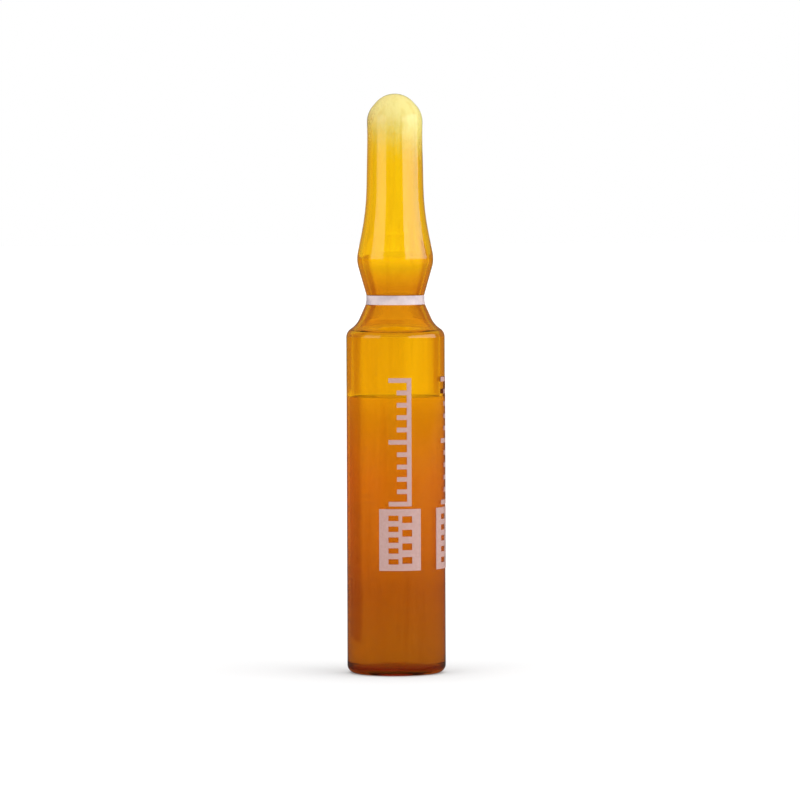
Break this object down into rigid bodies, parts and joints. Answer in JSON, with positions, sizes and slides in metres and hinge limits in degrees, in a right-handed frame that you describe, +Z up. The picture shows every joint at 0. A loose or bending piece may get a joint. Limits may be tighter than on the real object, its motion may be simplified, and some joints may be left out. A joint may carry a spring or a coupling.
{
  "type": "glass ampoule",
  "caption": "Sealed amber glass ampoule with a narrow neck, white break ring and printed scale, holding a small dose of liquid.",
  "frame": {"origin": "middle of the foot, on the surface that the ampoule stands on", "axes": "+Z up the axis from the foot to the sealed tip; the first printed motif faces -Y"},
  "size_m": [0.0108, 0.0108, 0.0632],
  "materials": {
    "amber_glass": "gloss",
    "liquid": "gloss",
    "white_enamel": "satin"
  },
  "bodies": {
    "root": {"ampoule_glass": "amber_glass", "liquid_fill": "liquid", "break_ring": "white_enamel", "printed_motif_1": "white_enamel", "printed_motif_2": "white_enamel"}
  },
  "joints": []
}
